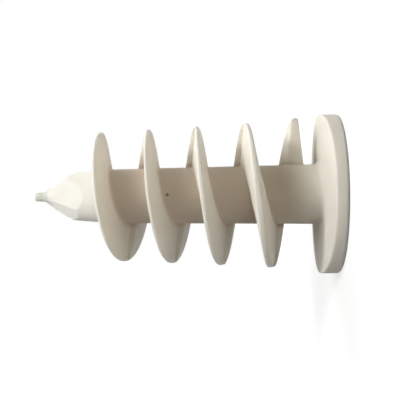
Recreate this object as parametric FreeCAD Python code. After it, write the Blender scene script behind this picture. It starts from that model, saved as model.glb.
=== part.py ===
import FreeCAD, Part
import math
import os

os.makedirs("parts", exist_ok=True)

# The anchor is one injection-moulded plastic piece. It stands on the outer face of
# its head: that face is z = 0, its centre is the origin and the axis runs up +Z to
# the point. The two mould halves open along Y, so y = 0 is the parting plane.
# All lengths are millimetres and all angles are degrees.

# Head disc. Its back leans away from the parting plane on each side. The edge round
# its outer face has the larger rounding.
HEAD_RADIUS = 13.75
HEAD_THICKNESS = 3.35
HEAD_BACK_DRAFT_NEAR = 5.0
HEAD_BACK_DRAFT_FAR = 1.0
HEAD_FRONT_ROUNDING = 0.6
HEAD_BACK_ROUNDING = 0.4

# Hollow shank, slightly thinner towards the point, and the four-sided nose
SHANK_LENGTH = 41.1
SHANK_RADIUS_AT_HEAD = 5.22
SHANK_RADIUS_AT_NOSE = 4.86
NOSE_LENGTH = 13.2
NOSE_SIDE_FALL = 5.0
NOSE_FLAT_SLOPE = 25.0
NOSE_FLAT_TURN = 13.0
NOSE_POINT_OFFSET = -0.3

# Small stub that moulding leaves on the point
STUB_REACH_PAST_POINT = 0.3
STUB_LENGTH = 4.5
STUB_RADIUS_AT_END = 0.78
STUB_RADIUS_AT_NOSE = 0.90

# Spiral flange, right-handed. Its two ends lie in the parting plane.
FLANGE_TURNS = 4
FLANGE_START_PAST_SHOULDER = 0.9
FLANGE_END_OFF_HEAD = 3.8
FLANGE_RADIUS_AT_TIP_END = 11.6
FLANGE_RADIUS_AT_HEAD_END = 12.88
FLANGE_LAST_SWELL = 0.65
FLANGE_LAST_FLARE = 4.5
FLANGE_WEDGE_ANGLE = 6.0
FLANGE_RELEASE_DRAFT = 1.6
FLANGE_END_UNRELEASED_ANGLE = 30.0
FLANGE_ROOT_SINK = 0.7
CREST_THICKNESS_AT_TIP_END = 0.50
CREST_THICKNESS_AT_HEAD_END = 1.52
CREST_THINNING_AT_PARTING = 0.2
CREST_MORE_THINNING_ON_END_SIDE = 0.35
CREST_EDGE_BREAK = 0.5

# Drive socket and screw hole, opening in the outer face of the head
SOCKET_ACROSS_FLATS = 6.0
SOCKET_DEPTH = 9.0
LEAD_IN_RADIUS = 4.1
LEAD_IN_DEPTH = 0.6
HOLE_RADIUS = 2.0
HOLE_PAST_SHOULDER = 3.9
HOLE_POINT_DEPTH = 1.2

# Heights that follow from the sizes above
SHOULDER_Z = SHANK_LENGTH
POINT_Z = SHOULDER_Z + NOSE_LENGTH
STUB_END_Z = POINT_Z + STUB_REACH_PAST_POINT
FLANGE_START_Z = SHOULDER_Z + FLANGE_START_PAST_SHOULDER
FLANGE_END_Z = HEAD_THICKNESS + FLANGE_END_OFF_HEAD
FLANGE_PITCH = (FLANGE_START_Z - FLANGE_END_Z) / FLANGE_TURNS
FLANGE_ROOT_RADIUS = SHANK_RADIUS_AT_NOSE - FLANGE_ROOT_SINK
HOLE_END_Z = SHOULDER_Z + HOLE_PAST_SHOULDER

# Spacing of the sections along a half turn, and the share of the flange's depth at
# which each section is shaped
STATION_COUNT = 23
SECTION_SHARES = [0.05, 0.15, 0.30, 0.52, 0.76]


def flange_share(turn_angle):
    """How far along the flange a turn angle lies, 0 at the tip end and 1 at the head end."""
    return turn_angle / (360.0 * FLANGE_TURNS)


def crest_radius_at(turn_angle):
    """Radius of the crest: it grows evenly towards the head and swells at its very end."""
    share = flange_share(turn_angle)
    growth = FLANGE_RADIUS_AT_HEAD_END - FLANGE_RADIUS_AT_TIP_END
    return FLANGE_RADIUS_AT_TIP_END + growth * share + FLANGE_LAST_SWELL * last_stretch(turn_angle)


def last_stretch(turn_angle):
    """Rises from almost 0 to 1 over the flange's last half turn."""
    return flange_share(turn_angle) ** 18


def crest_thickness_at(turn_angle):
    """Thickness of the crest: it grows towards the head and thins at the parting plane.

    It thins more on the side where the flange's two ends lie, but not at the ends.
    """
    share = flange_share(turn_angle)
    growth = CREST_THICKNESS_AT_HEAD_END - CREST_THICKNESS_AT_TIP_END
    full = CREST_THICKNESS_AT_TIP_END + growth * share ** 2.2
    across = math.cos(math.radians(turn_angle))
    thinning = CREST_THINNING_AT_PARTING
    if across > 0.0:
        thinning += CREST_MORE_THINNING_ON_END_SIDE * share * (1.0 - share ** 4)
    return full * (1.0 - thinning * across ** 2)


def unreleased_share(turn_angle):
    """Rises from 0 to 1 just before the flange's last end, whose tip side no face opposes."""
    before_end = 360.0 * FLANGE_TURNS - turn_angle
    return 1.0 - smooth_step(before_end / FLANGE_END_UNRELEASED_ANGLE)


def smooth_step(value):
    """Ease from 0 to 1 without a corner."""
    held = max(0.0, min(1.0, value))
    return held * held * (3.0 - 2.0 * held)


def crest_angle_abreast(radius, crest_radius, local_angle):
    """Angle at which the crest is met straight out from a point along the mould pull."""
    share = radius * math.cos(math.radians(local_angle)) / crest_radius
    return math.degrees(math.acos(max(-1.0, min(1.0, share))))


def face_distance(radius, crest_radius, crest_half, local_angle, released):
    """Distance of a flange face from the start of its half turn, measured along the axis.

    Where the mould half could not be drawn off a true spiral, the face is released:
    it runs straight back from the crest edge along the pull. Elsewhere the face is
    the true spiral with a wedge that widens to the root.
    """
    depth = crest_radius - radius
    wedge = math.tan(math.radians(FLANGE_WEDGE_ANGLE))
    if not released:
        return FLANGE_PITCH * local_angle / 360.0, crest_half + depth * wedge
    met = crest_angle_abreast(radius, crest_radius, local_angle)
    nearness = smooth_step(abs(90.0 - local_angle) / 60.0)
    release = math.tan(math.radians(FLANGE_RELEASE_DRAFT))
    slope = wedge + nearness * (release - wedge)
    return FLANGE_PITCH * met / 360.0, crest_half + depth * slope


def flange_section(half_turn, local_angle):
    """Section of the flange as five strips of pole points, from root to crest to root.

    The strips are the tip-side face, the broken tip-side edge, the crest, the broken
    head-side edge and the head-side face.
    """
    turn_angle = 180.0 * half_turn + local_angle
    crest_radius = crest_radius_at(turn_angle)
    crest_half = 0.5 * crest_thickness_at(turn_angle)
    edge_break = CREST_EDGE_BREAK * crest_half
    start_z = FLANGE_START_Z - FLANGE_PITCH * half_turn / 2.0
    around = math.radians(turn_angle)
    depth = crest_radius - edge_break - FLANGE_ROOT_RADIUS
    radii = [FLANGE_ROOT_RADIUS]
    radii += [crest_radius - edge_break - depth * share for share in reversed(SECTION_SHARES)]
    radii += [crest_radius - edge_break]

    def place(radius, drop):
        return FreeCAD.Vector(radius * math.cos(around), -radius * math.sin(around), start_z - drop)

    tip_side = []
    head_side = []
    flare = math.tan(math.radians(FLANGE_LAST_FLARE)) * last_stretch(turn_angle)
    for radius in radii:
        centre, half = face_distance(radius, crest_radius, crest_half, local_angle, local_angle > 90.0)
        reach = centre - half - flare * (crest_radius - edge_break - radius)
        centre, half = face_distance(radius, crest_radius, crest_half, local_angle, False)
        reach += unreleased_share(turn_angle) * (centre - half - reach)
        tip_side.append(place(radius, reach))
        centre, half = face_distance(radius, crest_radius, crest_half, local_angle, local_angle < 90.0)
        head_side.insert(0, place(radius, centre + half))
    middle = FLANGE_PITCH * local_angle / 360.0
    tip_corner = place(crest_radius, middle - crest_half + edge_break)
    head_corner = place(crest_radius, middle + crest_half - edge_break)
    return [
        tip_side,
        [tip_side[-1], tip_corner],
        [tip_corner, head_corner],
        [head_corner, head_side[0]],
        head_side,
    ]


def even_knots(pole_count, degree):
    """Clamped, evenly spaced knots and their multiplicities."""
    spans = pole_count - degree
    knots = [float(i) for i in range(spans + 1)]
    multiplicities = [degree + 1] + [1] * (spans - 1) + [degree + 1]
    return knots, multiplicities


def skin_along(rows):
    """Smooth surface over rows of pole points, with the rows following the flange."""
    across = min(2, len(rows[0]) - 1)
    knots_along, counts_along = even_knots(len(rows), 3)
    knots_across, counts_across = even_knots(len(rows[0]), across)
    surface = Part.BSplineSurface()
    surface.buildFromPolesMultsKnots(
        rows, counts_along, counts_across, knots_along, knots_across, False, False, 3, across
    )
    return surface


def half_turn_solid(half_turn):
    """One half turn of the flange, as its mould half leaves it, rooted in the shank wall."""
    step = 180.0 / (STATION_COUNT - 1)
    sections = [flange_section(half_turn, step * station) for station in range(STATION_COUNT)]
    skins = []
    for strip in range(len(sections[0])):
        skins.append(skin_along([section[strip] for section in sections]))
    roots = [skins[0].vIso(0.0).toShape()]
    roots.append(skins[-1].vIso(skins[-1].bounds()[3]).toShape())
    faces = [skin.toShape() for skin in skins]
    faces.append(Part.makeRuledSurface(roots[0], roots[1]))
    for end in (0.0, skins[0].bounds()[1]):
        rims = [skin.uIso(end).toShape() for skin in skins]
        first = skins[0].value(end, 0.0)
        final = skins[-1].value(end, skins[-1].bounds()[3])
        faces.append(Part.Face(Part.Wire(rims + [Part.makeLine(final, first)])))
    shell = Part.makeShell(faces)
    shell.sewShape()
    solid = Part.makeSolid(Part.Shell(shell.Faces))
    if solid.Volume < 0.0:
        solid.reverse()
    return solid


def shank_and_stub():
    """Shank from the head to the nose, cut by the four flats, with the stub on top."""
    foot_z = 0.5 * HEAD_THICKNESS
    top_radius = SHANK_RADIUS_AT_NOSE - NOSE_LENGTH * math.tan(math.radians(NOSE_SIDE_FALL))
    profile = [
        FreeCAD.Vector(0, 0, foot_z),
        FreeCAD.Vector(SHANK_RADIUS_AT_HEAD, 0, foot_z),
        FreeCAD.Vector(SHANK_RADIUS_AT_NOSE, 0, SHOULDER_Z),
        FreeCAD.Vector(top_radius, 0, POINT_Z),
        FreeCAD.Vector(0, 0, POINT_Z),
    ]
    outline = Part.makePolygon(profile + [profile[0]])
    shank = Part.Face(outline).revolve(FreeCAD.Vector(0, 0, 0), FreeCAD.Vector(0, 0, 1), 360)
    # Each flat is cut by a large block whose inner side is the sloping plane.
    reach = NOSE_LENGTH + SHANK_RADIUS_AT_HEAD
    for quarter in range(4):
        block = Part.makeBox(2 * reach, 4 * reach, 4 * reach, FreeCAD.Vector(0, -2 * reach, -2 * reach))
        block.rotate(FreeCAD.Vector(0, 0, 0), FreeCAD.Vector(0, 1, 0), -NOSE_FLAT_SLOPE)
        block.rotate(
            FreeCAD.Vector(0, 0, 0), FreeCAD.Vector(0, 0, 1), NOSE_FLAT_TURN - 90.0 + 90.0 * quarter
        )
        block.translate(FreeCAD.Vector(NOSE_POINT_OFFSET, 0, POINT_Z))
        shank = shank.cut(block)
    stub = Part.makeCone(
        STUB_RADIUS_AT_NOSE,
        STUB_RADIUS_AT_END,
        STUB_LENGTH,
        FreeCAD.Vector(0, 0, STUB_END_Z - STUB_LENGTH),
    )
    return shank.fuse(stub)


def head_disc():
    """Round head with a flat outer face and a back drafted away from the parting plane."""
    disc = Part.makeCylinder(HEAD_RADIUS, HEAD_THICKNESS)
    reach = 2.0 * HEAD_RADIUS
    near_drop = reach * math.tan(math.radians(HEAD_BACK_DRAFT_NEAR))
    far_drop = reach * math.tan(math.radians(HEAD_BACK_DRAFT_FAR))
    outline = [
        FreeCAD.Vector(-reach, -reach, -reach),
        FreeCAD.Vector(-reach, reach, -reach),
        FreeCAD.Vector(-reach, reach, HEAD_THICKNESS - far_drop),
        FreeCAD.Vector(-reach, 0, HEAD_THICKNESS),
        FreeCAD.Vector(-reach, -reach, HEAD_THICKNESS - near_drop),
    ]
    roof = Part.Face(Part.makePolygon(outline + [outline[0]])).extrude(FreeCAD.Vector(2 * reach, 0, 0))
    disc = disc.common(roof)
    back_rim = [edge for edge in disc.Edges if is_rim(edge) and edge.BoundBox.ZMax > HEAD_BACK_ROUNDING]
    disc = disc.makeFillet(HEAD_BACK_ROUNDING, back_rim)
    front_rim = [edge for edge in disc.Edges if is_rim(edge) and edge.BoundBox.ZMax < HEAD_BACK_ROUNDING]
    return disc.makeFillet(HEAD_FRONT_ROUNDING, front_rim)


def is_rim(edge):
    """Whether an edge runs round the outside of the head."""
    middle = edge.valueAt(0.5 * (edge.FirstParameter + edge.LastParameter))
    runs_round = abs(math.hypot(middle.x, middle.y) - HEAD_RADIUS) < 0.01
    return runs_round and edge.BoundBox.DiagonalLength > HEAD_RADIUS


def drive_and_hole():
    """Everything taken out along the axis: lead-in, hexagon socket and screw hole."""
    past = 0.5 * LEAD_IN_DEPTH
    corner = SOCKET_ACROSS_FLATS / math.sqrt(3.0)
    ring = []
    for i in range(7):
        angle = math.radians(60.0 * i)
        ring.append(FreeCAD.Vector(corner * math.cos(angle), corner * math.sin(angle), -past))
    socket = Part.Face(Part.makePolygon(ring)).extrude(FreeCAD.Vector(0, 0, SOCKET_DEPTH + past))
    lead_in = Part.makeCone(
        LEAD_IN_RADIUS + past,
        LEAD_IN_RADIUS - LEAD_IN_DEPTH,
        LEAD_IN_DEPTH + past,
        FreeCAD.Vector(0, 0, -past),
    )
    hole_start = 0.5 * SOCKET_DEPTH
    hole = Part.makeCylinder(HOLE_RADIUS, HOLE_END_Z - hole_start, FreeCAD.Vector(0, 0, hole_start))
    point = Part.makeCone(HOLE_RADIUS, 0.0, HOLE_POINT_DEPTH, FreeCAD.Vector(0, 0, HOLE_END_Z))
    return socket.fuse([lead_in, hole, point])


half_turns = [half_turn_solid(number) for number in range(2 * FLANGE_TURNS)]
anchor = shank_and_stub().fuse([head_disc()] + half_turns)
anchor = anchor.cut(drive_and_hole())
if len(anchor.Solids) == 1:
    anchor = anchor.Solids[0]
anchor.exportStep("parts/anchor.step")
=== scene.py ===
import logging
import math
from dataclasses import dataclass, field
from enum import Enum
from typing import Any, Mapping, Sequence, Union

import bmesh
import bpy
import numpy as np
from mathutils import Matrix


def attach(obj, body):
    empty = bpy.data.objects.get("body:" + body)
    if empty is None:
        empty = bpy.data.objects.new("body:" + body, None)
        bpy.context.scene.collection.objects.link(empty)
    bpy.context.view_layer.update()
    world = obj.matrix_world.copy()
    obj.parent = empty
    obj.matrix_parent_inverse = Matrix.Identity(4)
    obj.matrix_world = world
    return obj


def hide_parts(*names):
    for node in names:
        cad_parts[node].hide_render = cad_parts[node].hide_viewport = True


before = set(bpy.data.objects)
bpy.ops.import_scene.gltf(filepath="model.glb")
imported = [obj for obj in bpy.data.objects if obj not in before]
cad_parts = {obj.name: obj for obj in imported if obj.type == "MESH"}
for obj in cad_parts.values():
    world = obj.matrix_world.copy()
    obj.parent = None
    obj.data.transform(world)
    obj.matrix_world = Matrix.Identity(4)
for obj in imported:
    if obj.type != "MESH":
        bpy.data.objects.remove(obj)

MM = 0.001               # in metres
WELD_DISTANCE = 2e-8     # in metres
LOG = logging.getLogger("insulation_anchor")

Colour = tuple[float, float, float]
Point = tuple[float, float, float]
Band = tuple[float, float]
Pair = tuple[np.ndarray, np.ndarray]


def smooth_step(value: np.ndarray) -> np.ndarray:
    """Ease from 0 to 1 without a corner: 3 t squared less 2 t cubed, held at both ends."""
    held = np.clip(value, 0.0, 1.0)
    return held * held * (3.0 - 2.0 * held)


def soft_least(first: np.ndarray, second: np.ndarray, width: float) -> np.ndarray:
    """Smaller of two fields, with the corner between them rounded.

    The rounding is a parabola over the band where the two differ by less than width. It
    takes a quarter of the width away where they are equal.

    Args:
        first: One field.
        second: The other field, of the same shape.
        width: Difference at which the rounding begins, in the fields' unit.

    Returns:
        The rounded minimum.
    """
    near = np.clip(width - np.abs(first - second), 0.0, None) / width
    return np.minimum(first, second) - near * near * width / 4.0


def soft_most(first: np.ndarray, second: np.ndarray, width: float) -> np.ndarray:
    """Larger of two fields, with the corner between them rounded as in soft_least."""
    return -soft_least(-first, -second, width)


def shares(count: int) -> np.ndarray:
    """Even shares from 0 to 1, one per row."""
    return np.linspace(0.0, 1.0, count)[:, None]


def quarter(count: int) -> np.ndarray:
    """Even angles from 0 to a right angle, in radians."""
    return np.radians(np.linspace(0.0, 90.0, count))


def weld(mesh: bpy.types.Mesh) -> None:
    """Merge the points of a closed mesh that lie together, and point its faces outwards.

    Args:
        mesh: Mesh in metres, changed in place.
    """
    skin = bmesh.new()
    skin.from_mesh(mesh)
    bmesh.ops.remove_doubles(skin, verts=skin.verts, dist=WELD_DISTANCE)
    bmesh.ops.recalc_face_normals(skin, faces=skin.faces)
    if skin.calc_volume(signed=True) < 0.0:
        bmesh.ops.reverse_faces(skin, faces=skin.faces)
    skin.to_mesh(mesh)
    skin.free()


def closed_mesh(name: str, points: np.ndarray) -> bpy.types.Mesh:
    """Closed mesh over a grid of points whose columns run all the way round.

    Row i and row i + 1 are joined by quads, and the last column by quads to the first.
    Rows that shrink to a point or to a line close the ends once doubles are welded.

    Args:
        name: Name of the mesh.
        points: Array of rows x columns x 3, in millimetres.

    Returns:
        The welded mesh in metres, with its faces pointing outwards.
    """
    rows, columns, _ = points.shape
    index = np.arange(rows * columns).reshape(rows, columns)
    ahead = np.roll(index, -1, axis=1)
    quads = np.stack([index[:-1], ahead[:-1], ahead[1:], index[1:]], axis=-1).reshape(-1, 4)
    mesh = bpy.data.meshes.new(name)
    mesh.vertices.add(rows * columns)
    mesh.vertices.foreach_set("co", (points * MM).astype(np.float32).ravel())
    mesh.loops.add(quads.size)
    mesh.loops.foreach_set("vertex_index", quads.astype(np.int32).ravel())
    mesh.polygons.add(len(quads))
    mesh.polygons.foreach_set("loop_start", np.arange(0, quads.size, 4, dtype=np.int32))
    mesh.update(calc_edges=True)
    weld(mesh)
    return mesh


@dataclass(frozen=True)
class Flat:
    """One sloping flat of the nose: the turn angle it faces, its slope and its own point."""

    facing: float
    slope: float
    point_past_shoulder: float


@dataclass(frozen=True)
class Nose:
    """Nose with large flats and its moulding stub. Lengths in millimetres, angles in degrees.

    The flats are those of the near mould half. The far half has the same ones, half a
    turn round the axis.
    """

    length: float = 13.2
    side_fall: float = 5.0
    flats: tuple[Flat, ...] = (
        Flat(92.0, 27.7, 11.95),
        Flat(131.7, 30.6, 12.06),
        Flat(30.0, 31.8, 13.55),
        Flat(0.0, 25.6, 14.9),
    )
    ridge_rounding: float = 0.08
    least_reach: float = 0.01
    least_cosine: float = 0.05
    stub_reach: float = 0.3
    stub_length: float = 4.5
    stub_radius_at_end: float = 0.71
    stub_radius_at_nose: float = 0.83
    stub_foot_rounding: float = 1.5
    stub_end_rounding: float = 0.16
    stub_end_power: int = 8

    def radius(self, past_shoulder: np.ndarray, angle: np.ndarray, shoulder: float) -> np.ndarray:
        """Radius of the nose: the rounded minimum of a slim cone and the sloping flats.

        A flat that faces the angle a lies at radius d / cos(angle - a), where d is the
        distance below the flat's point times the tangent of its slope. A least value of
        each keeps that radius finite and above zero.

        Args:
            past_shoulder: Distances past the shoulder.
            angle: Turn angles in radians, broadcast against the distances.
            shoulder: Radius of the shank at the shoulder.

        Returns:
            Radii, with the stub's radius where that is the larger.
        """
        fall = math.tan(math.radians(self.side_fall))
        nose = shoulder - np.clip(past_shoulder, 0.0, None) * fall + 0.0 * angle
        for flat in self.flats:
            below_point = np.clip(flat.point_past_shoulder - past_shoulder, 0.0, None)
            reach = below_point * math.tan(math.radians(flat.slope))
            reach = np.clip(reach, self.least_reach, None)
            for half_turn in (0.0, math.pi):
                cosine = np.cos(angle - math.radians(flat.facing) - half_turn)
                cosine = np.clip(cosine, self.least_cosine, None)
                nose = soft_least(nose, reach / cosine, self.ridge_rounding)
        along_stub = past_shoulder - self.length - self.stub_reach + self.stub_length
        along_stub = np.clip(along_stub / self.stub_length, 0.0, 1.0)
        taper = self.stub_radius_at_end - self.stub_radius_at_nose
        stub = self.stub_radius_at_nose + taper * along_stub + 0.0 * angle
        return soft_most(nose, stub, self.stub_foot_rounding)


@dataclass(frozen=True)
class Shank:
    """Hollow shank with the hexagon socket and the screw hole. Lengths in millimetres."""

    length: float = 41.1
    radius_at_head: float = 5.22
    radius_at_nose: float = 4.86
    foot: float = 1.675
    foot_rounding: float = 0.7
    socket_across_flats: float = 6.0
    socket_depth: float = 9.0
    lead_in_radius: float = 4.1
    lead_in_depth: float = 0.6
    hole_radius: float = 2.0
    hole_past_shoulder: float = 3.9
    hole_point_depth: float = 1.2

    def radius(self, height: np.ndarray) -> np.ndarray:
        """Outer radius, which shrinks evenly from the foot to the shoulder."""
        share = (height - self.foot) / (self.length - self.foot)
        return self.radius_at_head + (self.radius_at_nose - self.radius_at_head) * share

    def hexagon(self, angle: np.ndarray) -> np.ndarray:
        """Radius of the hexagon socket: its half width over the cosine to the nearest flat."""
        off_flat = np.mod(angle, math.pi / 3.0) - math.pi / 6.0
        return 0.5 * self.socket_across_flats / np.cos(off_flat)


@dataclass(frozen=True)
class Head:
    """Round head with a flat outer face and a drafted back. Lengths in millimetres."""

    radius: float = 13.75
    thickness: float = 3.35
    back_draft_near: float = 5.0
    back_draft_far: float = 1.0
    front_rounding: float = 0.6
    back_rounding: float = 0.4

    def back(self, radius: np.ndarray, angle: np.ndarray) -> np.ndarray:
        """Height of the back: it falls away from the parting plane on each side.

        The fall is the distance from the plane y = 0 times the tangent of the side's draft.

        Args:
            radius: Distances from the axis.
            angle: Turn angles in radians, broadcast against the distances.

        Returns:
            Heights above the outer face.
        """
        side = np.sin(angle)
        fall = np.where(side > 0.0, self.back_draft_near, self.back_draft_far)
        return self.thickness - radius * np.abs(side) * np.tan(np.radians(fall))


@dataclass(frozen=True)
class RowCounts:
    """How many rows of points the stretches of the core's profile have."""

    short: int = 7
    hole: int = 25
    rounding: int = 9
    face: int = 15
    shank: int = 81
    nose: int = 76
    stub_rounding: int = 6
    stub_end: int = 5


@dataclass(frozen=True)
class Core:
    """Head, shank and nose as one closed surface round the axis."""

    head: Head = field(default_factory=Head)
    shank: Shank = field(default_factory=Shank)
    nose: Nose = field(default_factory=Nose)
    rows: RowCounts = field(default_factory=RowCounts)
    columns: int = 216
    flash_height: float = 0.035
    flash_width: float = 0.09

    def grid(self) -> np.ndarray:
        """Points of the surface, row by row along its profile.

        The profile runs from the bottom of the screw hole down through the socket, out
        over the outer face, round the rim, in over the back, up the shank and the nose
        and over the end of the stub. Each row holds a radius and a height for every
        turn angle.

        Returns:
            Array of rows x columns x 3, in millimetres.
        """
        angle = np.linspace(0.0, 2.0 * math.pi, self.columns, endpoint=False)[None, :]
        profile = [*self._inside(angle), *self._rim(angle), *self._outside(angle)]
        radius = np.concatenate([radii + 0.0 * angle for radii, _ in profile])
        height = np.concatenate([heights + 0.0 * angle for _, heights in profile])
        return np.stack([radius * np.cos(angle), -radius * np.sin(angle), height], axis=-1)

    def _inside(self, angle: np.ndarray) -> list[Pair]:
        """Screw hole, socket and lead-in, from the axis outwards.

        Args:
            angle: Turn angles in radians, as one row.

        Returns:
            Radii and heights of each stretch.
        """
        shank = self.shank
        hole_end = shank.length + shank.hole_past_shoulder
        inner_edge = shank.lead_in_radius - shank.lead_in_depth
        hexagon = shank.hexagon(angle)
        share = shares(self.rows.short)
        wall = shares(self.rows.hole)
        point = (shank.hole_radius * share, hole_end + shank.hole_point_depth * (1.0 - share))
        hole = (
            shank.hole_radius + 0.0 * wall,
            hole_end + (shank.socket_depth - hole_end) * wall,
        )
        socket_floor = (
            shank.hole_radius + (hexagon - shank.hole_radius) * share,
            shank.socket_depth + 0.0 * share,
        )
        socket_wall = (
            hexagon + 0.0 * share,
            shank.socket_depth + (shank.lead_in_depth - shank.socket_depth) * share,
        )
        depth, share = shank.lead_in_depth, share[1:]
        lead_in_floor = (hexagon + (inner_edge - hexagon) * share, depth + 0.0 * share)
        lead_in = (inner_edge + depth * share, depth * (1.0 - share))
        return [point, hole, socket_floor, socket_wall, lead_in_floor, lead_in]

    def _rim(self, angle: np.ndarray) -> list[Pair]:
        """Outer face, rim with its rounded edges, back and the rounding at the shank's foot.

        Args:
            angle: Turn angles in radians, as one row.

        Returns:
            Radii and heights of each stretch.
        """
        head, shank = self.head, self.shank
        front, back = head.front_rounding, head.back_rounding
        arc = quarter(self.rows.rounding)[1:, None]
        share = shares(self.rows.face)[1:]
        face = shank.lead_in_radius + (head.radius - front - shank.lead_in_radius) * share
        outer = head.radius + self._flash(head.radius, angle)
        brow = head.back(head.radius, angle)
        foot = shank.radius_at_head + shank.foot_rounding
        inward = head.radius - back + (foot - head.radius + back) * share
        front_edge = (outer - front * (1.0 - np.sin(arc)), front * (1.0 - np.cos(arc)))
        rim = (outer + 0.0 * share, front + (brow - front - back) * share)
        back_edge = (outer - back * (1.0 - np.cos(arc)), brow - back * (1.0 - np.sin(arc)))
        shank_foot = (
            foot - shank.foot_rounding * np.sin(arc),
            head.back(foot, angle) + shank.foot_rounding * (1.0 - np.cos(arc)),
        )
        return [
            (face, 0.0 * face),
            front_edge,
            rim,
            back_edge,
            (inward, head.back(inward, angle)),
            shank_foot,
        ]

    def _outside(self, angle: np.ndarray) -> list[Pair]:
        """Shank above its foot, nose and stub, closed on the axis.

        Args:
            angle: Turn angles in radians, as one row.

        Returns:
            Radii and heights of each stretch.
        """
        shank, nose, rounding = self.shank, self.nose, self.nose.stub_end_rounding
        start = self.head.back(shank.radius_at_head, angle) + shank.foot_rounding
        height = start + (shank.length - start) * shares(self.rows.shank)[1:]
        tube = shank.radius(height)
        past = np.linspace(0.0, nose.length + nose.stub_reach, self.rows.nose)[1:, None]
        pointed = nose.radius(past, angle, shank.radius_at_nose)
        drawn_in = rounding * (past / past[-1]) ** nose.stub_end_power
        end = shank.length + nose.length + nose.stub_reach
        arc = quarter(self.rows.stub_rounding)[1:, None]
        edge = pointed[-1:] - rounding * (1.0 - np.cos(arc))
        inward = 1.0 - shares(self.rows.stub_end)[1:]
        return [
            (tube + self._flash(tube, angle), height),
            (pointed, shank.length + past - drawn_in),
            (edge, end - rounding * (1.0 - np.sin(arc))),
            (edge[-1:] * inward, end + 0.0 * inward),
        ]

    def _flash(self, radius: np.ndarray, angle: np.ndarray) -> np.ndarray:
        """Height of the thin parting line: a bell over the distance from the plane y = 0."""
        off_plane = radius * np.sin(angle) / self.flash_width
        return self.flash_height * np.exp(-off_plane * off_plane)


class End(Enum):
    """The flange's ends: the first is near the point and the last near the head."""

    FIRST = "first"
    LAST = "last"


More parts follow.
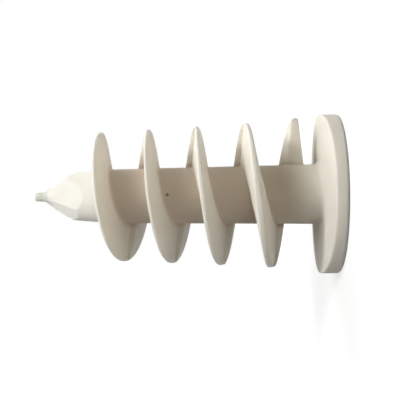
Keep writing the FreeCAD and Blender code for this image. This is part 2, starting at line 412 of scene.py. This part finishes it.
@dataclass(frozen=True)
class SpiralFlange:
    """Right-hand spiral flange as a two-part mould leaves it.

    Every half turn is drawn off its mould half along Y. Faces that would hold it back
    run straight along the pull from the crest edge, so they meet the next half turn in
    a step at the parting plane. Lengths are in millimetres and angles in degrees. The
    powers say how late along the spiral a size changes.
    """

    shank: Shank = field(default_factory=Shank)
    head: Head = field(default_factory=Head)
    turns: int = 4
    start_past_shoulder: float = 0.9
    end_off_head: float = 3.8
    radius_at_tip_end: float = 11.6
    radius_at_head_end: float = 12.88
    last_power: int = 18
    last_swell: float = 0.65
    last_flare: float = 4.5
    last_thickening: float = 0.10
    wedge_angle: float = 6.0
    release_draft: float = 1.6
    release_blend_angle: float = 60.0
    end_unreleased_angle: float = 30.0
    crest_at_tip_end: float = 0.50
    crest_at_head_end: float = 1.52
    crest_power: float = 2.2
    thinning_at_parting: float = 0.2
    thinning_on_end_side: float = 0.35
    end_side_power: int = 4
    crest_rounding: float = 0.65
    crest_roundness: float = 0.70
    crest_roundness_swing: float = 0.22
    root_rounding: float = 0.25
    root_sink: float = 0.02
    root_depth: float = 0.3
    first_end_rounding: float = 0.14
    last_end_rounding: float = 0.25
    rows_per_half: int = 73
    rows_per_end: int = 7
    root_columns: int = 8
    side_columns: int = 15
    side_crowding: float = 1.6
    crest_columns: int = 9

    @property
    def start_height(self) -> float:
        """Height of the crest's middle where the flange starts."""
        return self.shank.length + self.start_past_shoulder

    @property
    def pitch(self) -> float:
        """Rise of one turn."""
        return (self.start_height - self.head.thickness - self.end_off_head) / self.turns

    def grid(self) -> np.ndarray:
        """Points of the whole flange, one closed section per row, root side in the shank.

        Returns:
            Array of rows x columns x 3, in millimetres.
        """
        halves = []
        last = 2 * self.turns - 1
        for number in range(last + 1):
            local = np.linspace(0.0, 180.0, self.rows_per_half)
            inset = np.zeros_like(local)
            if number == 0:
                local, inset = self._rounded_end(local, inset, End.FIRST)
            if number == last:
                local, inset = self._rounded_end(local, inset, End.LAST)
            halves.append(self._half_turn(number, local, inset))
        rows = np.concatenate(halves)
        return np.concatenate([self._flattened(rows[:1]), rows, self._flattened(rows[-1:])])

    def _rounded_end(self, local: np.ndarray, inset: np.ndarray, end: End) -> Pair:
        """Extra rows that round an end: they close in on a quarter circle near the plane.

        Args:
            local: Angles from the start of the half turn, in degrees.
            inset: How far each section is drawn in all round.
            end: The end that is rounded.

        Returns:
            Angles and insets with the extra rows in place of those that they overlap.
        """
        arc = quarter(self.rows_per_end)
        middle = 0.5 * (self.radius_at_head_end + self.shank.radius_at_head)
        rounding = self.last_end_rounding if end is End.LAST else self.first_end_rounding
        spread = math.degrees(rounding / middle)
        back = spread * (1.0 - np.sin(arc))
        shrink = rounding * (1.0 - np.cos(arc))
        if end is End.LAST:
            keep = local < 180.0 - spread
            local = np.concatenate([local[keep], 180.0 - back])
            return local, np.concatenate([inset[keep], shrink])
        keep = local > spread
        local = np.concatenate([back[::-1], local[keep]])
        return local, np.concatenate([shrink[::-1], inset[keep]])

    @staticmethod
    def _flattened(row: np.ndarray) -> np.ndarray:
        """Row pressed onto the middle of its own section, which closes an end.

        Args:
            row: One section, as 1 x columns x 3.

        Returns:
            The pressed row.
        """
        flat = row.copy()
        flat[..., 2] = 0.5 * (row[..., 2] + row[:, ::-1, 2])
        return flat

    def _half_crest(self, share: np.ndarray, across: np.ndarray) -> np.ndarray:
        """Half thickness of the crest.

        It grows with a power of the share of the spiral, and loses a part that goes with
        the square of the cosine to the parting plane, more on the side of the two ends.

        Args:
            share: Share of the whole spiral that lies behind each section.
            across: Cosine of each section's turn angle.

        Returns:
            Half thicknesses before any inset.
        """
        growth = self.crest_at_head_end - self.crest_at_tip_end
        end_side = np.where(across > 0.0, self.thinning_on_end_side, 0.0)
        end_side = end_side * share * (1.0 - share ** self.end_side_power)
        last = self.last_thickening * share ** self.last_power
        thinning = self.thinning_at_parting + end_side - last
        thickness = self.crest_at_tip_end + growth * share ** self.crest_power
        return 0.5 * thickness * (1.0 - thinning * across ** 2)

    def _half_turn(self, number: int, local: np.ndarray, inset: np.ndarray) -> np.ndarray:
        """Sections of one half turn.

        The middle of a section drops by one pitch per turn. Its half thickness is the
        crest's, plus the wedge times the depth below the crest, plus the root rounding.
        A released face takes the middle that the crest has straight out along the pull,
        at the angle whose cosine is radius x cos(local angle) / crest radius. Close to
        the last end, the tip side goes back to its true spiral.

        Args:
            number: Half turns before this one.
            local: Angles from the start of the half turn, in degrees.
            inset: How far each section is drawn in all round, for a rounded end.

        Returns:
            Array of sections x columns x 3, in millimetres.
        """
        turn = 180.0 * number + local
        share = turn / (360.0 * self.turns)
        last_stretch = share ** self.last_power
        growth = self.radius_at_head_end - self.radius_at_tip_end
        crest = self.radius_at_tip_end + growth * share + self.last_swell * last_stretch
        across = np.cos(np.radians(turn))
        half = self._half_crest(share, across) - inset
        tube = self.shank.radius(self.start_height - self.pitch * turn / 360.0)
        roundness = self.crest_roundness + self.crest_roundness_swing * across
        section = self._section(crest, half, tube, inset, roundness)
        radius, _, depth = section
        local, turn, crest, last_stretch = (a[:, None] for a in (local, turn, crest, last_stretch))

        drop, breadth = self._face(section, crest, local, local > 90.0)
        reach = drop - breadth - math.tan(math.radians(self.last_flare)) * last_stretch * depth
        drop, breadth = self._face(section, crest, local, np.zeros_like(local, dtype=bool))
        before_end = (360.0 * self.turns - turn) / self.end_unreleased_angle
        reach = reach + (1.0 - smooth_step(before_end)) * (drop - breadth - reach)

        start = self.start_height - self.pitch * number / 2.0
        tip_side = start - reach
        drop, breadth = self._face(section, crest, local, local < 90.0)
        head_side = start - (drop + breadth)
        radii = np.concatenate([radius, radius[:, ::-1]], axis=1)
        heights = np.concatenate([tip_side, head_side[:, ::-1]], axis=1)
        around = np.radians(turn)
        return np.stack([radii * np.cos(around), -radii * np.sin(around), heights], axis=-1)

    def _section(
        self,
        crest: np.ndarray,
        half: np.ndarray,
        tube: np.ndarray,
        inset: np.ndarray,
        roundness: np.ndarray,
    ) -> tuple[np.ndarray, np.ndarray, np.ndarray]:
        """Radii of a section from the root to the crest, with what they add to its breadth.

        The root and the crest's edge are quarter circles. Between them the radii grow
        with a power of the share, so that they lie closer together near the crest.

        Args:
            crest: Crest radius of each section.
            half: Half thickness of each crest.
            tube: Shank radius below each section.
            inset: How far each section is drawn in.
            roundness: Largest edge rounding as a share of the half thickness.

        Returns:
            Radii, breadth that does not depend on the wedge, and depth below the crest's
            rounded edge, each as sections x columns.
        """
        edge = np.minimum(self.crest_rounding, roundness * half)[:, None]
        crest, half, tube = (a[:, None] for a in (crest - inset, half, tube))
        arc = quarter(self.root_columns)[None, :]
        root = tube - self.root_sink + self.root_rounding * (1.0 - np.cos(arc))
        root_breadth = self.root_rounding * (1.0 - np.sin(arc)) + 0.0 * tube
        inner = tube - self.root_depth
        brow = crest - edge
        inward = 1.0 - np.linspace(0.0, 1.0, self.side_columns)[None, 1:-1]
        side = root[:, -1:] + (brow - root[:, -1:]) * (1.0 - inward ** self.side_crowding)
        arc = quarter(self.crest_columns)[None, :]
        rounded = brow + edge * np.sin(arc)
        rounded_breadth = edge * (np.cos(arc) - 1.0)
        radius = np.concatenate([inner, root, side, rounded, crest], axis=1)
        extra = np.concatenate(
            [root_breadth[:, :1], root_breadth, 0.0 * side, rounded_breadth, -half], axis=1
        )
        return radius, half + extra, np.clip(brow - radius, 0.0, None)

    def _face(
        self,
        section: tuple[np.ndarray, np.ndarray, np.ndarray],
        crest: np.ndarray,
        local: np.ndarray,
        released: np.ndarray,
    ) -> Pair:
        """Middle and half thickness that one face of the flange follows.

        The middle drops by one pitch per turn of an angle. On a released face that is
        the angle where the pull through each point meets the crest, and elsewhere the
        section's own. The half thickness is the breadth plus the depth times the slope.

        Args:
            section: Radii, breadth without the wedge, and depth below the crest's edge.
            crest: Crest radius.
            local: Angle from the start of the half turn, in degrees.
            released: Where the face runs straight along the pull.

        Returns:
            Drop of the middle and half thickness, both in millimetres.
        """
        radius, breadth, depth = section
        wedge = math.tan(math.radians(self.wedge_angle))
        release = math.tan(math.radians(self.release_draft))
        abreast = np.clip(radius * np.cos(np.radians(local)) / crest, -1.0, 1.0)
        met = np.where(released, np.degrees(np.arccos(abreast)), local)
        nearness = smooth_step(np.abs(90.0 - local) / self.release_blend_angle)
        slope = np.where(released, wedge + nearness * (release - wedge), wedge)
        return self.pitch * met / 360.0, breadth + depth * slope


Linkable = Union["Signal", bpy.types.NodeSocket, float, Sequence[float]]


class Signal:
    """A number or colour that varies over a surface: a socket with the maths operators."""

    def __init__(self, desk: "NodeDesk", socket: bpy.types.NodeSocket) -> None:
        """Keep the socket and the desk that adds further nodes."""
        self.desk = desk
        self.socket = socket

    def _maths(self, operation: str, first: Linkable, second: Linkable) -> "Signal":
        """Add one Math node and return its result."""
        return self.desk.add("ShaderNodeMath", {"operation": operation}, {0: first, 1: second})

    def __add__(self, other: Linkable) -> "Signal":
        """Sum."""
        return self._maths("ADD", self, other)

    __radd__ = __add__

    def __mul__(self, other: Linkable) -> "Signal":
        """Product."""
        return self._maths("MULTIPLY", self, other)

    __rmul__ = __mul__

    def __sub__(self, other: Linkable) -> "Signal":
        """Difference."""
        return self._maths("SUBTRACT", self, other)

    def __rsub__(self, other: Linkable) -> "Signal":
        """Difference from a number on the left."""
        return self._maths("SUBTRACT", other, self)


class NodeDesk:
    """Adds nodes to one material's tree."""

    def __init__(self, tree: bpy.types.NodeTree) -> None:
        """Keep the tree."""
        self.tree = tree

    def add(
        self,
        kind: str,
        settings: Mapping[str, Any],
        inputs: Mapping[Union[int, str], Linkable],
        output: Union[int, str] = 0,
    ) -> Signal:
        """Add one node.

        Args:
            kind: Type name of the node.
            settings: Properties that are set first.
            inputs: Values or links by socket name or number. A colour has three numbers.
            output: Socket to return.

        Returns:
            The chosen output as a signal, or the first input of a node without outputs.
        """
        node = self.tree.nodes.new(kind)
        for name, value in settings.items():
            setattr(node, name, value)
        for name, value in inputs.items():
            socket = node.inputs[name]
            if isinstance(value, Signal):
                self.tree.links.new(value.socket, socket)
            elif isinstance(value, bpy.types.NodeSocket):
                self.tree.links.new(value, socket)
            else:
                socket.default_value = (*value, 1.0) if socket.type == "RGBA" else value
        return Signal(self, node.outputs[output] if node.outputs else node.inputs[0])

    def mix(self, factor: Linkable, first: Linkable, second: Linkable) -> Signal:
        """Blend two colours by a factor."""
        # sockets 6 and 7 take the colours, and output 2 gives the blended one
        colours = {"Factor": factor, 6: first, 7: second}
        return self.add("ShaderNodeMix", {"data_type": "RGBA"}, colours, 2)

    def vector(self, operation: str, inputs: Mapping[int, Linkable], output: str) -> Signal:
        """Add one Vector Math node and return its result."""
        return self.add("ShaderNodeVectorMath", {"operation": operation}, inputs, output)

    def band(self, value: Linkable, low: float, high: float) -> Signal:
        """Smooth rise from 0 at low to 1 at high."""
        limits = {"Value": value, "From Min": low, "From Max": high, "To Min": 0.0, "To Max": 1.0}
        return self.add("ShaderNodeMapRange", {"interpolation_type": "SMOOTHSTEP"}, limits)

    def largest(self, *values: Linkable) -> Signal:
        """Largest of some values.

        Args:
            values: Two values or more, or links to them.

        Returns:
            The largest.
        """
        most = values[0]
        for value in values[1:]:
            most = self.add("ShaderNodeMath", {"operation": "MAXIMUM"}, {0: most, 1: value})
        return most

    def seen_as_background(self) -> Signal:
        """Rays that the camera sees straight, in a reflection or through glass.

        Returns:
            1 for those rays and 0 for all others.
        """
        camera = self.add("ShaderNodeLightPath", {}, {}, "Is Camera Ray")
        rays = camera.socket.node.outputs
        return self.largest(camera, rays["Is Glossy Ray"], rays["Is Transmission Ray"])


@dataclass(frozen=True)
class MouldedPlastic:
    """Ivory moulded plastic with a satin skin.

    Colours are linear and lengths in metres. The shank has a darker, warmer tone that
    starts above the head. It is partly a warmer plastic and partly painted shade between the
    flange turns. Towards the head it darkens further, which is painted shade. The point is
    paler, which is painted light, and its stub is a greenish grey. A band is the pair of
    values between which a mask rises from 0 to 1.
    """

    ivory: Colour = (0.835, 0.79, 0.70)
    # darker, warmer shank tone: partly a warmer plastic, partly painted shade between the flange
    # turns
    shank_tint_and_painted_shade: Colour = (0.725, 0.600, 0.475)
    shank_tint_and_shade_weight: float = 0.75
    shank_tint_and_shade_outer_band: Band = (0.0053, 0.0061)
    shank_tint_and_shade_start_band: Band = (0.0045, 0.0105)
    # painted shade: the shank darker towards the head
    painted_shade_near_head_tone: Colour = (0.585, 0.505, 0.390)
    painted_shade_near_head_weight: float = 0.6
    painted_shade_near_head_end_band: Band = (0.0135, 0.0185)
    # painted light: the point paler, as where light falls strongly on it
    painted_light_tip_tone: Colour = (0.85, 0.83, 0.755)
    painted_light_tip_weight: float = 0.9
    painted_light_tip_band: Band = (0.0405, 0.0435)
    stub_tone: Colour = (0.66, 0.67, 0.60)
    stub_band: Band = (0.0515, 0.0526)
    cloud_tone: Colour = (0.74, 0.705, 0.62)
    cloud_size: float = 0.009
    cloud_band: Band = (0.35, 0.75)
    cloud_weight: float = 0.35
    grain_size: float = 0.0007
    grain_band: Band = (0.3, 0.7)
    grain_weight: float = 0.06
    speck_tone: Colour = (0.19, 0.15, 0.115)
    speck_place: Point = (0.00014, -0.00497, 0.02917)
    speck_radius: float = 0.00034
    speck_band: Band = (0.45, 1.45)
    speck_ragged_size: float = 0.0004
    speck_raggedness: float = 0.00016
    refraction: float = 1.5
    gloss: float = 0.15
    roughness: float = 0.62
    roughness_spread: float = 0.10
    patch_size: float = 0.004
    wave_size: float = 0.0045
    wave_height: float = 0.00009
    pore_size: float = 0.00035
    pore_height: float = 0.0000045
    glow_weight: float = 0.6
    glow_spread: Point = (1.0, 0.93, 0.84)
    glow_scale: float = 0.0012

    def build(self, name: str) -> bpy.types.Material:
        """Make the material.

        Args:
            name: Name of the material.

        Returns:
            A node material that reads Object coordinates only.
        """
        material = bpy.data.materials.new(name)
        material.use_nodes = True
        desk = NodeDesk(material.node_tree)
        shader = material.node_tree.nodes["Principled BSDF"]
        place = desk.add("ShaderNodeTexCoord", {}, {}, "Object")
        links = material.node_tree.links
        links.new(self._colour(desk, place).socket, shader.inputs["Base Color"])
        links.new(self._roughness(desk, place).socket, shader.inputs["Roughness"])
        links.new(self._relief(desk, place).socket, shader.inputs["Normal"])
        shader.inputs["IOR"].default_value = self.refraction
        shader.inputs["Specular IOR Level"].default_value = self.gloss
        shader.inputs["Subsurface Weight"].default_value = self.glow_weight
        shader.inputs["Subsurface Radius"].default_value = self.glow_spread
        shader.inputs["Subsurface Scale"].default_value = self.glow_scale
        return material

    @staticmethod
    def _noise(desk: NodeDesk, place: Signal, size: float, detail: float) -> Signal:
        """Noise whose blotches are about size metres across."""
        values = {"Vector": place, "Scale": 1.0 / size, "Detail": detail}
        return desk.add("ShaderNodeTexNoise", {}, values, "Fac")

    def _colour(self, desk: NodeDesk, place: Signal) -> Signal:
        """Ivory with a warmer shank tone that is partly painted shade, painted shade towards the
        head, painted light on the point, a greyer stub and one dark speck.

        Args:
            desk: Where the nodes are added.
            place: Object coordinates.

        Returns:
            The base colour.
        """
        across = desk.vector("MULTIPLY", {0: place, 1: (1.0, 1.0, 0.0)}, "Vector")
        radius = desk.vector("LENGTH", {0: across}, "Value")
        height = desk.add("ShaderNodeSeparateXYZ", {}, {0: place}, "Z")
        # mask of the shank between the flange turns, for the tone that is partly painted shade
        above_head = desk.band(height, *self.shank_tint_and_shade_start_band)
        core = (1.0 - desk.band(radius, *self.shank_tint_and_shade_outer_band)) * above_head
        # mask of the painted shade on the shank towards the head
        foot = core * (1.0 - desk.band(height, *self.painted_shade_near_head_end_band))
        # mask of the point, which painted light makes paler
        tip = desk.band(height, *self.painted_light_tip_band)
        stub = desk.band(height, *self.stub_band)
        clouds = desk.band(self._noise(desk, place, self.cloud_size, detail=3.0), *self.cloud_band)
        grain = desk.band(self._noise(desk, place, self.grain_size, detail=2.0), *self.grain_band)
        colour = desk.mix(clouds * self.cloud_weight, self.ivory, self.cloud_tone)
        # warmer plastic and painted shade on the shank, kept off the point
        colour = desk.mix(core * (1.0 - tip) * self.shank_tint_and_shade_weight, colour, self.shank_tint_and_painted_shade)
        # painted shade on the shank towards the head
        colour = desk.mix(foot * self.painted_shade_near_head_weight, colour, self.painted_shade_near_head_tone)
        # painted light on the point
        colour = desk.mix(tip * self.painted_light_tip_weight, colour, self.painted_light_tip_tone)
        colour = desk.mix(stub, colour, self.stub_tone)
        colour = desk.mix(grain * self.grain_weight, colour, self.cloud_tone)
        return desk.mix(self._speck(desk, place), colour, self.speck_tone)

    def _speck(self, desk: NodeDesk, place: Signal) -> Signal:
        """Mask of the dark speck: a ball round its place with a ragged edge.

        Args:
            desk: Where the nodes are added.
            place: Object coordinates.

        Returns:
            1 in the speck and 0 outside it.
        """
        away = desk.vector("DISTANCE", {0: place, 1: self.speck_place}, "Value")
        ragged = self._noise(desk, place, self.speck_ragged_size, detail=2.0)
        edges = (self.speck_radius * share for share in self.speck_band)
        return 1.0 - desk.band(away + ragged * self.speck_raggedness, *edges)

    def _roughness(self, desk: NodeDesk, place: Signal) -> Signal:
        """Satin with duller and shinier patches."""
        patches = self._noise(desk, place, self.patch_size, detail=4.0)
        return self.roughness + (patches - 0.5) * self.roughness_spread

    def _relief(self, desk: NodeDesk, place: Signal) -> Signal:
        """Fine moulded grain over shallow sink waves, as one bump.

        Args:
            desk: Where the nodes are added.
            place: Object coordinates.

        Returns:
            The normal.
        """
        waves = self._noise(desk, place, self.wave_size, detail=1.0) * self.wave_height
        pores = self._noise(desk, place, self.pore_size, detail=3.0) * self.pore_height
        bump = {"Height": waves + pores, "Distance": 1.0, "Strength": 1.0}
        return desk.add("ShaderNodeBump", {}, bump, "Normal")


@dataclass(frozen=True)
class Lamp:
    """Square soft lamp. Its place and width are in millimetres, its power in watts."""

    name: str
    place: Point
    width: float
    power: float


@dataclass(frozen=True)
class Studio:
    """Camera, lamps, pale floor and white surroundings.

    Lengths are in millimetres and the camera's angles in radians. The floor's own glow
    is what the camera sees of it, and grows to white with the distance from the object,
    so that its shadow shows close by.
    """

    focal_pixels: float = 536.38
    image_pixels: float = 400.0
    sensor_width: float = 36.0
    yaw: float = 0.1053
    pitch: float = -0.0049
    roll: float = 0.0104
    eye: Point = (-0.369, -95.665, 13.964)
    nearest: float = 5.0
    farthest: float = 10000.0
    lamp_aim: Point = (0.0, 0.0, 27.0)
    lamps: tuple[Lamp, ...] = (
        Lamp("key", (60.0, -120.0, 170.0), 30.0, 0.168),
        Lamp("front", (0.0, -120.0, 122.0), 80.0, 0.047),
        Lamp("upper_front", (160.0, -160.0, 220.0), 60.0, 0.102),
        Lamp("upper_near", (120.0, -60.0, 110.0), 40.0, 0.013),
        Lamp("lower_near", (-55.0, -50.0, 103.0), 40.0, 0.023),
        Lamp("point_side", (200.0, 160.0, 335.0), 240.0, 0.90),
        Lamp("upper_back", (277.0, 277.0, 106.0), 240.0, 0.08),
    )
    white: Colour = (1.0, 1.0, 1.0)
    ambient: float = 0.004
    ambient_tint: Colour = (1.0, 0.985, 0.96)
    floor_radius: float = 3000.0
    floor_corners: int = 96
    floor_tone: Colour = (0.45, 0.45, 0.445)
    shadow_near: float = 30.0
    shadow_far: float = 140.0
    glow_near: float = 0.66

    def build(self) -> None:
        """Make everything that is not part of the object."""
        self._camera()
        self._surroundings()
        self._floor()
        for lamp in self.lamps:
            self._hang(lamp)
        bpy.context.scene.view_settings.view_transform = "Standard"

    def _camera(self) -> None:
        """Camera at the photograph's place: the object's +Z points left and its +X up."""
        data = bpy.data.cameras.new("camera")
        data.sensor_width = self.sensor_width
        data.lens = self.focal_pixels / self.image_pixels * self.sensor_width
        data.clip_start, data.clip_end = self.nearest * MM, self.farthest * MM
        laid = Matrix(((0.0, 0.0, -1.0), (1.0, 0.0, 0.0), (0.0, 1.0, 0.0)))
        turned = Matrix.Rotation(self.roll, 3, "Z") @ Matrix.Rotation(self.pitch, 3, "X")
        right, up, forward = turned @ Matrix.Rotation(self.yaw, 3, "Y") @ laid
        camera = bpy.data.objects.new("camera", data)
        axes = Matrix((right, up, -forward)).transposed().to_4x4()
        camera.matrix_world = Matrix.Translation([c * MM for c in self.eye]) @ axes
        bpy.context.scene.collection.objects.link(camera)
        bpy.context.scene.camera = camera

    def _hang(self, lamp: Lamp) -> None:
        """Make one lamp, aimed at the middle of the object and not seen by the camera.

        Its sides are the cross products of the Y axis and the aim, and of those two. So
        no lamp may hang straight in front of the aim or behind it, along Y.

        Args:
            lamp: The lamp's values.
        """
        data = bpy.data.lights.new(lamp.name, "AREA")
        data.size = lamp.width * MM
        data.energy = lamp.power
        light = bpy.data.objects.new(lamp.name, data)
        aim = np.array(self.lamp_aim) - np.array(lamp.place)
        back = -aim / np.linalg.norm(aim)
        side = np.cross((0.0, 1.0, 0.0), back)
        side /= np.linalg.norm(side)
        axes = Matrix((tuple(side), tuple(np.cross(back, side)), tuple(back)))
        place = Matrix.Translation([c * MM for c in lamp.place])
        light.matrix_world = place @ axes.transposed().to_4x4()
        light.visible_camera = False
        bpy.context.scene.collection.objects.link(light)

    def _surroundings(self) -> None:
        """Even soft light from all round, seen as plain white by the camera."""
        world = bpy.data.worlds.new("surroundings")
        world.use_nodes = True
        world.node_tree.nodes.clear()
        desk = NodeDesk(world.node_tree)
        seen = desk.seen_as_background()
        glow = {"Color": self.ambient_tint, "Strength": self.ambient}
        dim = desk.add("ShaderNodeBackground", {}, glow)
        white = desk.add("ShaderNodeBackground", {}, {"Color": self.white, "Strength": 1.0})
        both = desk.add("ShaderNodeMixShader", {}, {0: seen, 1: dim, 2: white})
        desk.add("ShaderNodeOutputWorld", {}, {"Surface": both})
        bpy.context.scene.world = world

    def _floor(self) -> None:
        """Pale round floor under the head: white to the camera apart from the shadow."""
        mesh = bpy.data.meshes.new("floor")
        turn = np.linspace(0.0, 2.0 * math.pi, self.floor_corners, endpoint=False)
        rim = np.stack([np.cos(turn), np.sin(turn), 0.0 * turn], axis=-1)
        rim = rim * self.floor_radius * MM
        mesh.from_pydata(rim.tolist(), [], [list(range(self.floor_corners))])
        floor = bpy.data.objects.new("floor", mesh)
        bpy.context.scene.collection.objects.link(floor)
        mesh.materials.append(self._floor_paint("floor"))

    def _floor_paint(self, name: str) -> bpy.types.Material:
        """Dull pale paint with the glow that only the camera sees.

        Args:
            name: Name of the material.

        Returns:
            The floor's material.
        """
        material = bpy.data.materials.new(name)
        material.use_nodes = True
        material.node_tree.nodes.clear()
        desk = NodeDesk(material.node_tree)
        pale = desk.add("ShaderNodeBsdfDiffuse", {}, {"Color": self.floor_tone})
        place = desk.add("ShaderNodeTexCoord", {}, {}, "Object")
        away = desk.vector("LENGTH", {0: place}, "Value")
        away = desk.band(away, self.shadow_near * MM, self.shadow_far * MM)
        glow = away * (1.0 - self.glow_near) + self.glow_near
        glow = desk.add("ShaderNodeEmission", {}, {"Color": self.white, "Strength": glow})
        lit = desk.add("ShaderNodeAddShader", {}, {0: pale, 1: glow})
        seen = desk.seen_as_background()
        both = desk.add("ShaderNodeMixShader", {}, {0: seen, 1: pale, 2: lit})
        desk.add("ShaderNodeOutputMaterial", {}, {"Surface": both})
        return material


@dataclass(frozen=True)
class Anchor:
    """The whole moulded anchor: core and flange joined into one closed skin.

    Edges that turn by less than smooth_below degrees are shaded smooth.
    """

    core: Core = field(default_factory=Core)
    flange: SpiralFlange = field(default_factory=SpiralFlange)
    plastic: MouldedPlastic = field(default_factory=MouldedPlastic)
    smooth_below: float = 34.0

    def build(self) -> bpy.types.Object:
        """Make the piece that stands for the node "anchor".

        Returns:
            The finished object, at the origin.
        """
        core = self._piece("anchor_skin", self.core.grid())
        flange = self._piece("flange_tool", self.flange.grid())
        join = core.modifiers.new("join", "BOOLEAN")
        join.operation = "UNION"
        join.solver = "MANIFOLD"
        join.object = flange
        bpy.context.view_layer.update()
        evaluated = core.evaluated_get(bpy.context.evaluated_depsgraph_get())
        joined = bpy.data.meshes.new_from_object(evaluated)
        weld(joined)
        core.modifiers.clear()
        core.data = joined
        bpy.data.objects.remove(flange)
        joined.polygons.foreach_set("use_smooth", np.ones(len(joined.polygons), dtype=bool))
        joined.set_sharp_from_angle(angle=math.radians(self.smooth_below))
        joined.materials.clear()
        joined.materials.append(self.plastic.build("ivory_moulded_plastic"))
        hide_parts("anchor")
        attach(core, "root")
        return core

    @staticmethod
    def _piece(name: str, points: np.ndarray) -> bpy.types.Object:
        """Object over one closed grid.

        Args:
            name: Name of the object and its mesh.
            points: Array of rows x columns x 3, in millimetres.

        Returns:
            The object, at the origin.
        """
        piece = bpy.data.objects.new(name, closed_mesh(name, points))
        bpy.context.scene.collection.objects.link(piece)
        return piece


def main() -> None:
    """Build the anchor and its studio."""
    logging.basicConfig(level=logging.INFO)
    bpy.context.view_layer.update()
    skin = Anchor().build()
    LOG.info("%s: %d faces", skin.name, len(skin.data.polygons))
    studio = Studio()
    studio.build()
    LOG.info("studio: %d lamps", len(studio.lamps))
    bpy.context.view_layer.update()


if __name__ == "__main__":
    main()
